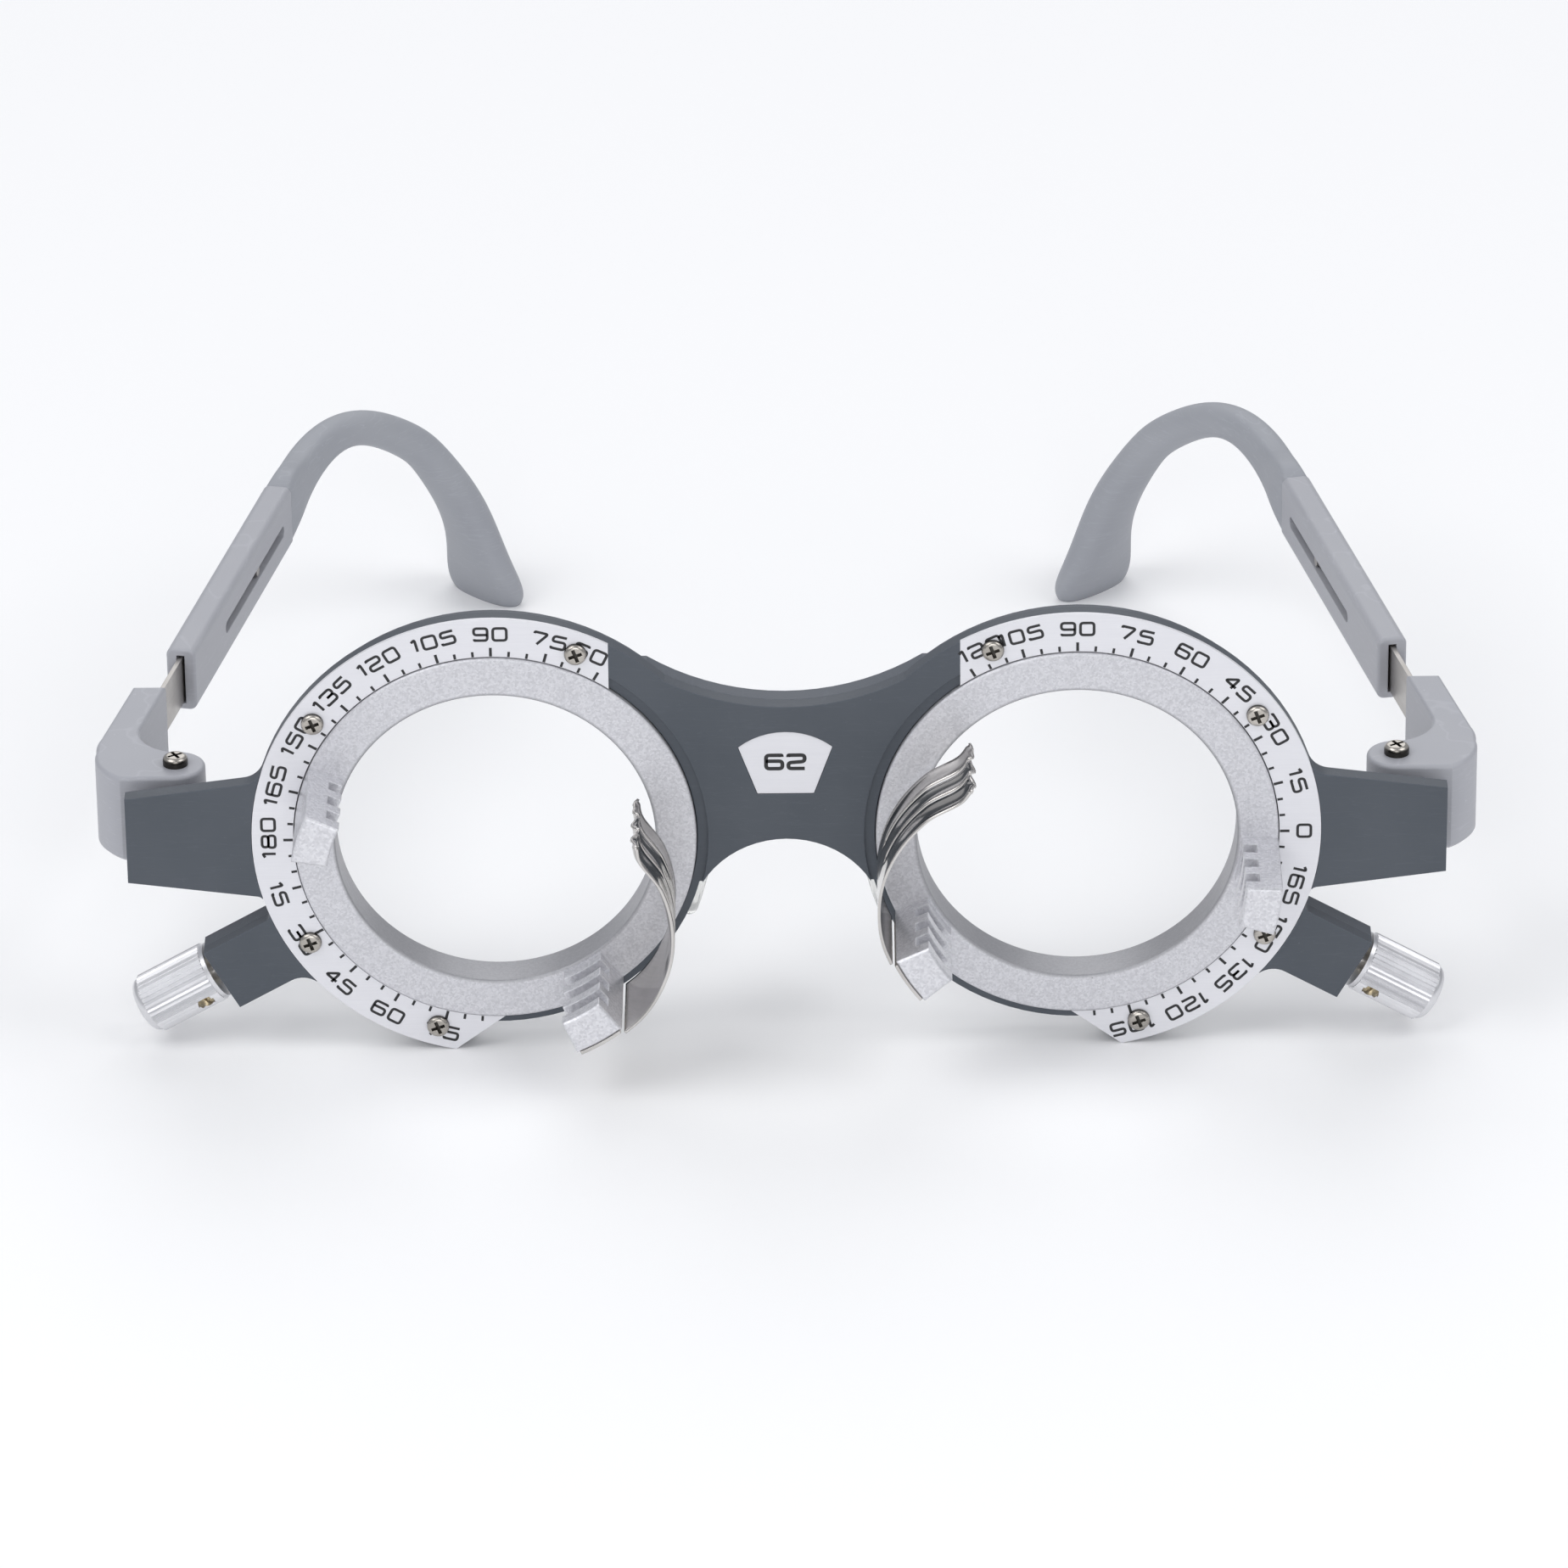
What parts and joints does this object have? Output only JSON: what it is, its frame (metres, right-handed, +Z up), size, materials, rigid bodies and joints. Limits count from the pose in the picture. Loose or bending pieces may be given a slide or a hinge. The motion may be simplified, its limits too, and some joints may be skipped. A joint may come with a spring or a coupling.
{
  "type": "optometric trial lens frame",
  "caption": "Optometric trial lens frame with rotating lens cells on degree scales, knurled axis knobs, sprung lens clips, folding length-adjustable temples and swivelling nose pads.",
  "frame": {"origin": "on the table under the middle of the overall box, in the plane halfway between the lens axes", "axes": "+Z up, +Y from the lens side back along the temples, +X across the width; left is the -X side"},
  "size_m": [0.1484, 0.1283, 0.0515],
  "materials": {
    "slate_plastic": "fine matte grain",
    "cover_plastic": "fine matte grain",
    "plate_paint": "satin light silver",
    "cell_paint": "satin silver with a fine cast grain",
    "comb_metal": "plated",
    "clip_steel": "polished",
    "screw_steel": "nickel plated",
    "knob_aluminium": "straight knurled",
    "bush_brass": "machined",
    "blade_steel": "rolled strip",
    "hinge_plastic": "satin",
    "hook_rubber": "soft matte",
    "pad_silicone": "clear silicone"
  },
  "bodies": {
    "front": {"front_housing": "slate_plastic", "back_cover": "cover_plastic", "centre_plate": "plate_paint", "scale_plate_left": "plate_paint", "scale_plate_right": "plate_paint", "plate_screws": "screw_steel", "cover_screws": "screw_steel", "shaft_bush_left": "bush_brass", "shaft_bush_right": "bush_brass", "pad_wire_left": "clip_steel", "pad_wire_right": "clip_steel"},
    "cell_left": {"lens_cell_left": "cell_paint", "retaining_ring_left": "cell_paint", "lens_comb_first_left": "comb_metal", "lens_comb_second_left": "comb_metal", "clip_foot_left": "clip_steel", "clip_rivets_left": "screw_steel"},
    "clip_left": {"spring_leaf_left": "clip_steel"},
    "adjuster_left": {"pinion_shaft_left": "clip_steel", "knob_left": "knob_aluminium", "set_screw_left": "bush_brass"},
    "hinge_left": {"hinge_block_left": "hinge_plastic", "hinge_screw_left": "screw_steel", "temple_blade_left": "blade_steel"},
    "temple_left": {"temple_sleeve_left": "hinge_plastic", "ear_hook_left": "hook_rubber"},
    "pad_left": {"nose_pad_left": "pad_silicone"},
    "cell_right": {"lens_cell_right": "cell_paint", "retaining_ring_right": "cell_paint", "lens_comb_first_right": "comb_metal", "lens_comb_second_right": "comb_metal", "clip_foot_right": "clip_steel", "clip_rivets_right": "screw_steel"},
    "clip_right": {"spring_leaf_right": "clip_steel"},
    "adjuster_right": {"pinion_shaft_right": "clip_steel", "knob_right": "knob_aluminium", "set_screw_right": "bush_brass"},
    "hinge_right": {"hinge_block_right": "hinge_plastic", "hinge_screw_right": "screw_steel", "temple_blade_right": "blade_steel"},
    "temple_right": {"temple_sleeve_right": "hinge_plastic", "ear_hook_right": "hook_rubber"},
    "pad_right": {"nose_pad_right": "pad_silicone"}
  },
  "joints": [
    {"name": "cell_spin_left", "type": "hinge", "parent": "front", "child": "cell_left", "pos_m": [-0.031, -0.05214, 0.02555], "axis": [0, -1, 0], "continuous": true},
    {"name": "knob_spin_left", "type": "hinge", "parent": "front", "child": "adjuster_left", "pos_m": [-0.05708, -0.04868, 0.01073], "axis": [-0.8695, 0, -0.4939], "continuous": true},
    {"name": "clip_flex_left", "type": "hinge", "parent": "cell_left", "child": "clip_left", "pos_m": [-0.01731, -0.05814, 0.00833], "axis": [0, 1, 0], "range_deg": [0, 8], "stiffness_Nm_per_rad": 0.1},
    {"name": "temple_fold_left", "type": "hinge", "parent": "front", "child": "hinge_left", "pos_m": [-0.0654, -0.04394, 0.02555], "axis": [0, 0, -1], "range_deg": [0, 70]},
    {"name": "temple_length_left", "type": "slide", "parent": "hinge_left", "child": "temple_left", "axis": [0.2045, 0.9789, 0], "range_m": [-0.007, 0.014]},
    {"name": "pad_swivel_left", "type": "hinge", "parent": "front", "child": "pad_left", "pos_m": [-0.01134, -0.04314, 0.01851], "axis": [0, 0, 1], "range_deg": [-8, 8]},
    {"name": "cell_spin_right", "type": "hinge", "parent": "front", "child": "cell_right", "pos_m": [0.031, -0.05214, 0.02555], "axis": [0, -1, 0], "continuous": true},
    {"name": "knob_spin_right", "type": "hinge", "parent": "front", "child": "adjuster_right", "pos_m": [0.05708, -0.04868, 0.01073], "axis": [0.8695, 0, -0.4939], "continuous": true},
    {"name": "clip_flex_right", "type": "hinge", "parent": "cell_right", "child": "clip_right", "pos_m": [0.01106, -0.05814, 0.01625], "axis": [0, -1, 0], "range_deg": [0, 8], "stiffness_Nm_per_rad": 0.1},
    {"name": "temple_fold_right", "type": "hinge", "parent": "front", "child": "hinge_right", "pos_m": [0.0654, -0.04394, 0.02555], "axis": [0, 0, 1], "range_deg": [0, 45]},
    {"name": "temple_length_right", "type": "slide", "parent": "hinge_right", "child": "temple_right", "axis": [-0.2045, 0.9789, 0], "range_m": [-0.007, 0.014]},
    {"name": "pad_swivel_right", "type": "hinge", "parent": "front", "child": "pad_right", "pos_m": [0.01134, -0.04314, 0.01851], "axis": [0, 0, 1], "range_deg": [-8, 8]}
  ],
  "couplings": [
    {"joint": "knob_spin_left", "follows": "cell_spin_left", "ratio": -8.5714},
    {"joint": "knob_spin_right", "follows": "cell_spin_right", "ratio": -8.5714}
  ]
}
